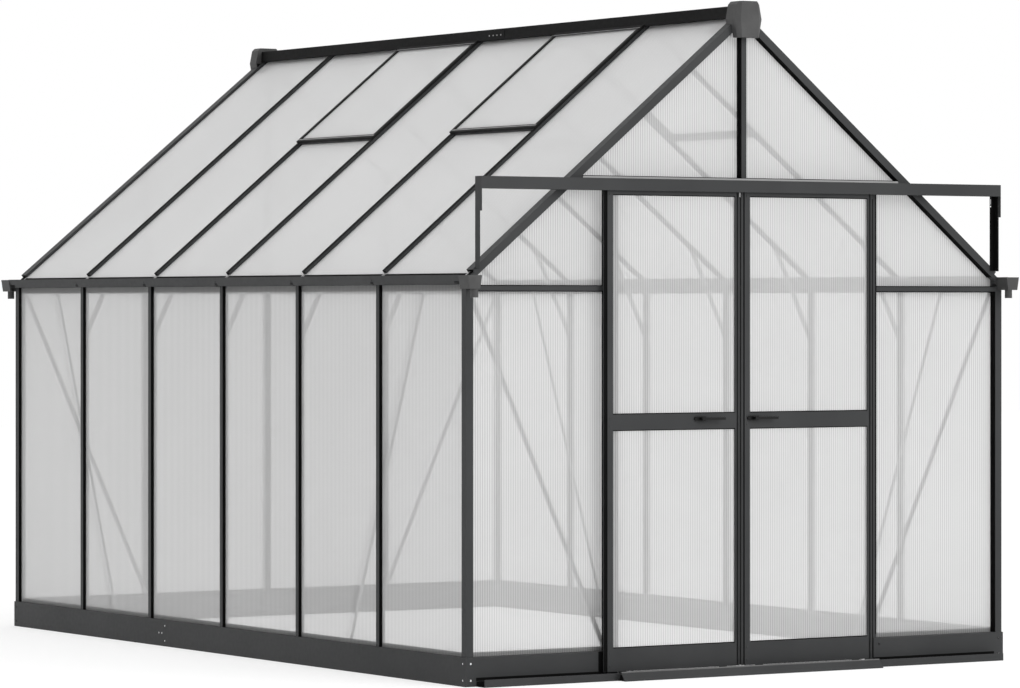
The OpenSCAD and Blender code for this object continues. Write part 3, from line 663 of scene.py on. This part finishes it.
piece("left_door_lap_shade_seal", leaf_lap_shade_seal, RUBBER_AND_SHADE, "left_door")
for body, node in LEAF_FRAMES.items():
    piece(body + "_shade_gaskets", leaf_shade_gaskets(node, body + "_panels"), RUBBER_AND_SHADE, body)
    piece(body + "_brush", leaf_brush(node), BRUSH, body)
    piece(body + "_screws", leaf_screws(node), FRAME_METAL, body)


# ---------- doorway, track and rail ----------

TRACK_WALL = 0.0022  # wall of the lower track, with a little clearance
SHADE_LINER_WALL = 0.001
BASE_SHADE_LENGTH = 0.038  # length of the painted shade on the base beside the left jamb
RAIL_TOP = high("door_rail").z


def track_shade_strip(bm):
    """Black strip on the base above the back wall of the lower track: painted shade where the base meets the
    track.
    """
    section = [(0.0, 0.0205), (-0.0012, 0.0205), (-0.0012, 0.0305), (-0.0006, 0.0320), (0.0, 0.0320)]
    level_strip(bm, section, low("door_track").x, high("base_front_left").x, FRONT_FACE, 0)
    level_strip(bm, section, low("base_front_right").x, high("door_track").x, FRONT_FACE, 0)


def base_end_shade_strip(bm):
    """Black strip on the base beside the left jamb, behind the end of the closed leaf: painted shade in the
    gap there.
    """
    top = BASE_TOP - 0.016
    section = [(0.0, 0.0210), (-0.0008, 0.0210), (-0.0008, top - 0.001), (-0.0004, top), (0.0, top)]
    level_strip(bm, section, -JAMB_EDGE - BASE_SHADE_LENGTH, -JAMB_EDGE - 0.001, FRONT_FACE, 0)


def ramp_end_shade_plugs(bm):
    """Black plugs in the open ends of the ramp; their black also paints the shade inside the ramp."""
    section = [(0.0045, 0.001), (0.0385, 0.001), (0.0275, 0.0285), (0.0255, 0.0285)]
    front = low("door_threshold").y
    for x, inward in ((low("door_threshold").x, 1), (high("door_threshold").x, -1)):
        level_strip(bm, section, x + inward * 0.0006, x + inward * 0.0036, front, 0)


def jamb_shade_seal(bm):
    """Black seal along the outer edge of the right jamb, from the base to the header; its black also paints
    the shadow beside the edge of the closed leaf.
    """
    section = [(-0.0052, 0.0), (0.0, 0.0), (0.0, -0.0005), (-0.0008, -0.0009), (-0.0044, -0.0009),
               (-0.0052, -0.0005)]
    upright_strip(bm, section, JAMB_EDGE, GABLE_FRONT, BASE_TOP, HEADER[0])


def track_shade_liner(bm):
    """Black plastic liner inside the lower door track, open at both ends; its black also paints the shade
    inside the track.
    """
    front = low("door_track").y + TRACK_WALL
    back = high("door_track").y - TRACK_WALL
    bed = TRACK_WALL + SHADE_LINER_WALL
    section = [(front, TRACK_WALL), (back, TRACK_WALL), (back, 0.019), (back - SHADE_LINER_WALL, 0.019),
               (back - SHADE_LINER_WALL, bed), (front + SHADE_LINER_WALL, bed), (front + SHADE_LINER_WALL, 0.026),
               (front, 0.026)]
    level_strip(bm, section, low("door_track").x + 0.001, high("door_track").x - 0.001, 0, 0)


def ramp_crest_highlight(bm):
    """Pale strip along the crest of the ramp: painted highlight on the edge."""
    section = [(-0.0030, -0.0034), (0.0, 0.0), (0.0019, 0.0), (0.0019, 0.0004), (-0.0003, 0.0005),
               (-0.0036, -0.0036)]
    x0 = low("door_threshold").x + 0.002
    x1 = high("door_threshold").x - 0.002
    crest = low("door_threshold").y + 0.026
    level_strip(bm, section, x0, x1, crest, RAMP_TOP)


def header_strip(bm):
    """Pale strip on the header, above the door rail."""
    reach = rafter_reach(HEADER[1]) - 0.004
    height = HEADER[1] - RAIL_TOP
    section = [(0.0, 0.0005), (0.0, height), (-0.0008, height), (-0.0014, 0.0010), (-0.0014, 0.0005)]
    level_strip(bm, section, -reach, reach, GABLE_FRONT, RAIL_TOP)


def rail_post_shade_liners(bm):
    """Black strips inside the two end posts of the door rail, narrower beside the slot: painted shade inside
    the posts.
    """
    plate = high("rail_end_posts").x - 0.002
    back = high("rail_end_posts").y - 0.002
    foot = low("rail_end_posts").z + 0.002
    lengths = ((0.0175, foot, SLOT_FOOT), (0.0110, SLOT_FOOT, SLOT_SHADE_TOP))
    for side in (-1, 1):
        for width, z0, z1 in lengths:
            section = [(plate - width, -0.001), (plate - 0.0008, -0.001), (plate - 0.0008, -0.026),
                       (plate, -0.026), (plate, 0.0), (plate - width, 0.0)]
            upright_strip(bm, [(side * a, b) for a, b in section], 0, back, z0, z1)


piece("track_shade_strip", track_shade_strip, RUBBER_AND_SHADE)
piece("base_end_shade_strip", base_end_shade_strip, RUBBER_AND_SHADE)
piece("ramp_end_shade_plugs", ramp_end_shade_plugs, RUBBER_AND_SHADE)
piece("jamb_shade_seal", jamb_shade_seal, RUBBER_AND_SHADE)
piece("track_shade_liner", track_shade_liner, RUBBER_AND_SHADE)
piece("ramp_crest_highlight", ramp_crest_highlight, CREST_HIGHLIGHT_METAL)
piece("header_strip", header_strip, PALE_STRIP_METAL)
piece("rail_post_shade_liners", rail_post_shade_liners, RUBBER_AND_SHADE)


# ---------- ridge, vents, braces and gutters ----------

SASH_LAP = 0.008  # a sash laps this far beyond the middle of the bars on both sides
SASH_STRIPS = (0.0555, 0.6605)  # pale strips of a sash, painted highlight, down the slope
RIDGE_LEAN = 0.0408  # the sides of the ridge beam lean in by this share of their height
SPLICE_LENGTH = 0.190  # from the middle of the ridge towards the front
SPLICE_SCREWS = (-0.165, 0.029)  # place of the first screw along the ridge, and their step
CAP_DEPTH = 0.0345  # inner end of a ridge cap, from the face of the base
GUSSET_START = 0.048  # down the slope from the apex
KNEE_BRACE_ENDS = ((1.176, 1.262), (1.014, 1.594))  # bolt at each end: distance from the ridge line, height
GUTTER_LEAN = Vector((34.0, 0, -12.0))  # square to the outer face of the right gutter


def ridge_out(side):
    """Direction square to the leaning side of the ridge beam."""
    return Vector((side, 0, RIDGE_LEAN)).normalized()


def ridge_splice_plates(bm):
    """Thin cover plate over the joint of the two ridge lengths, one on each side."""
    section = [(0.0, 0.0), (0.040, 0.0), (0.040, 0.0008), (0.038, 0.0014), (0.002, 0.0014), (0.0, 0.0008)]
    for side in (-1, 1):
        lean = Vector((side * -RIDGE_LEAN, 0, 1)).normalized()
        start = Vector((side * (RIDGE_SIDE - 0.0001), -SPLICE_LENGTH, APEX - 0.023))
        prism(bm, section, start, start + Y * SPLICE_LENGTH, lean, ridge_out(side))


def ridge_splice_screws(bm):
    """Row of four screws on the splice plate, on each side."""
    first, step = SPLICE_SCREWS
    for side in (-1, 1):
        for i in range(4):
            centre = Vector((side * (RIDGE_SIDE + 0.0004), first + i * step, APEX - 0.003))
            pan_screw(bm, centre, ridge_out(side), 0.0034)


def sash_span(bay):
    """Ends of a sash along the ridge: it laps a little over the rafters on both sides."""
    return BARS[bay - 1] - SASH_LAP, BARS[bay] + SASH_LAP


def vent_hinge_beads(bm):
    """Hinge bead along the upper edge of each vent."""
    bead = [(0.0, 0.0), (0.004, 0.0), (0.0048, 0.0012), (0.004, 0.0026), (0.002, 0.003), (0.0, 0.0024)]
    u = (RIDGE_SIDE + 0.012) / math.cos(ROOF_SLOPE)
    for side in (-1, 1):
        for bay in VENT_BAYS:
            y0, y1 = sash_span(bay)
            purlin_strip(bm, bead, side, u, SASH_HEIGHT, y0 + 0.003, y1 - 0.003)


def vent_sash_highlight_strips(bm):
    """Pale strips on the upper and lower rail of each vent sash: painted highlight on their top faces."""
    strip = [(0.0, 0.0), (0.0045, 0.0), (0.0045, 0.0005), (0.004, 0.0008), (0.0005, 0.0008), (0.0, 0.0005)]
    for side in (-1, 1):
        for bay in VENT_BAYS:
            y0, y1 = sash_span(bay)
            for u in SASH_STRIPS:
                purlin_strip(bm, strip, side, u, SASH_HEIGHT, y0 + 0.004, y1 - 0.004)


def ridge_cap_shade_closures(bm):
    """Foam closures in the inner ends of the ridge caps; their black also paints the shade on those ends."""
    section = [(0.0362, -0.0895), (0.047, -0.0895), (0.0575, -0.030), (0.0362, -0.030)]
    thickness = 0.0008
    for y0 in (FRONT_FACE + CAP_DEPTH, BACK_FACE - CAP_DEPTH - thickness):
        for side in (-1, 1):
            points = [(side * a, b) for a, b in section]
            prism(bm, points, Vector((0, y0, APEX)), Vector((0, y0 + thickness, APEX)), X, Z)


def ridge_gussets(bm):
    """Small gusset plates under the roof sheets where the gable rafters meet the ridge."""
    plate = [(0.046, 0.0), (0.134, 0.0), (0.134, 0.052), (0.128, 0.060), (0.052, 0.060), (0.046, 0.052)]
    for side in (-1, 1):
        for corner, inward in ((FRONT_FACE, 1), (BACK_FACE, -1)):
            start = slope_point(side, GUSSET_START, corner, -0.0196)
            points = [(inward * a, b) for a, b in plate]
            prism(bm, points, start, start + slope_up(side) * 0.0016, Y, slope_down(side))


def brace_bolts(bm):
    """Hexagon bolts at both ends of the knee braces."""
    for side in (-1, 1):
        for y in BARS:
            for x, z in KNEE_BRACE_ENDS:
                hex_bolt(bm, Vector((side * x, y + 0.0070, z)), Y, 0.008)


def gutter_screws(bm):
    """One screw on the outer gutter face at every wall bar."""
    x = high("right_gutter").x - 0.0060
    z = EAVE + 0.017
    for side in (-1, 1):
        out = Vector((side * GUTTER_LEAN.x, 0, GUTTER_LEAN.z)).normalized()
        for y in BARS:
            pan_screw(bm, Vector((side * x, y, z)), out, 0.0032)


piece("ridge_splice_plates", ridge_splice_plates, RIDGE_METAL)
piece("ridge_splice_screws", ridge_splice_screws, BRACE_METAL)
piece("vent_hinge_beads", vent_hinge_beads, FRAME_METAL)
piece("vent_sash_highlight_strips", vent_sash_highlight_strips, PALE_STRIP_METAL)
piece("ridge_cap_shade_closures", ridge_cap_shade_closures, RUBBER_AND_SHADE)
piece("ridge_gussets", ridge_gussets, BRACE_METAL)
piece("brace_bolts", brace_bolts, SCREW_METAL)
piece("gutter_screws", gutter_screws, FRAME_METAL)


# ---------- studio ----------

WORLD_LEVELS = (0.60, 1.25)  # strength on the dark side and on the bright side
BRIGHT_SIDE = (0.78, -0.53, 0.33)
FLOOR_SIZE = 60
FLOOR_TONE = 0.9
FLOOR_LIFT = 1.2


def background_share(tree):
    """One for rays that see the background: camera, glossy and transmission rays."""
    path = add(tree, "ShaderNodeLightPath")
    first = add(tree, "ShaderNodeMath", operation="MAXIMUM")
    second = add(tree, "ShaderNodeMath", operation="MAXIMUM")
    tree.links.new(path.outputs["Is Camera Ray"], first.inputs[0])
    tree.links.new(path.outputs["Is Glossy Ray"], first.inputs[1])
    tree.links.new(first.outputs[0], second.inputs[0])
    tree.links.new(path.outputs["Is Transmission Ray"], second.inputs[1])
    return second.outputs[0]


def side_light(tree):
    """Strength of the world, which rises evenly towards the bright side."""
    direction = add(tree, "ShaderNodeTexCoord").outputs["Generated"]
    toward = add(tree, "ShaderNodeVectorMath", operation="DOT_PRODUCT")
    toward.inputs[1].default_value = BRIGHT_SIDE
    tree.links.new(direction, toward.inputs[0])
    level = add(tree, "ShaderNodeMapRange")
    level.inputs["From Min"].default_value = -1.0
    level.inputs["From Max"].default_value = 1.0
    level.inputs["To Min"].default_value = WORLD_LEVELS[0]
    level.inputs["To Max"].default_value = WORLD_LEVELS[1]
    tree.links.new(toward.outputs["Value"], level.inputs["Value"])
    return level.outputs["Result"]


def make_world():
    """White where it is seen, and a soft light from one side elsewhere."""
    world = bpy.data.worlds.new("studio")
    world.use_nodes = True
    tree = world.node_tree
    tree.nodes.clear()
    output = add(tree, "ShaderNodeOutputWorld")
    light = add(tree, "ShaderNodeBackground")
    light.inputs["Color"].default_value = grey(1.0)
    tree.links.new(side_light(tree), light.inputs["Strength"])
    seen = add(tree, "ShaderNodeBackground")
    seen.inputs["Color"].default_value = grey(1.0)
    seen.inputs["Strength"].default_value = 1.0
    backdrop = mix_shaders(tree, background_share(tree), light.outputs[0], seen.outputs[0])
    tree.links.new(backdrop, output.inputs["Surface"])
    bpy.context.scene.world = world


def make_floor():
    """Matt floor that keeps the shadow and is lifted to white where it is seen."""
    bpy.ops.mesh.primitive_plane_add(size=FLOOR_SIZE, location=(0, 0, 0))
    floor = bpy.context.object
    floor.name = "floor"
    material, tree, output = new_material("floor_white")
    matt = add(tree, "ShaderNodeBsdfDiffuse")
    matt.inputs["Color"].default_value = grey(FLOOR_TONE)
    lift = add(tree, "ShaderNodeEmission")
    lift.inputs["Strength"].default_value = FLOOR_LIFT
    pale = mix_shaders(tree, 0.5, matt.outputs[0], lift.outputs[0])
    surface = mix_shaders(tree, background_share(tree), matt.outputs[0], pale)
    tree.links.new(surface, output.inputs["Surface"])
    floor.data.materials.append(material)


def make_lamp(name, place, target, size, power):
    data = bpy.data.lights.new(name, "AREA")
    data.shape = "SQUARE"
    data.size = size
    data.energy = power
    obj = bpy.data.objects.new(name, data)
    bpy.context.collection.objects.link(obj)
    obj.location = place
    obj.rotation_euler = (Vector(target) - Vector(place)).to_track_quat("-Z", "Y").to_euler()


make_world()
make_floor()
make_lamp("front_soft", (3.5, -11, 6), (0, 0, 1.2), 6, 400)


# ---------- camera ----------

CAMERA_SIDE = -9.6708  # from the ridge line
CAMERA_AHEAD = 13.7375  # from the front face of the base
CAMERA_HEIGHT = 1.3606
HEADING = math.radians(32.1748)
SENSOR_WIDTH = 36
FOCAL_PER_WIDTH = 4.435
HORIZON_DROP = -0.0375


def make_camera():
    data = bpy.data.cameras.new("camera")
    data.sensor_width = SENSOR_WIDTH
    data.lens = SENSOR_WIDTH * FOCAL_PER_WIDTH
    data.shift_y = HORIZON_DROP
    data.clip_end = 200
    camera = bpy.data.objects.new("camera", data)
    bpy.context.collection.objects.link(camera)
    camera.location = (CAMERA_SIDE, FRONT_FACE - CAMERA_AHEAD, CAMERA_HEIGHT)
    camera.rotation_euler = (math.radians(90), 0, -HEADING)
    bpy.context.scene.camera = camera


make_camera()
bpy.context.scene.view_settings.view_transform = "Standard"
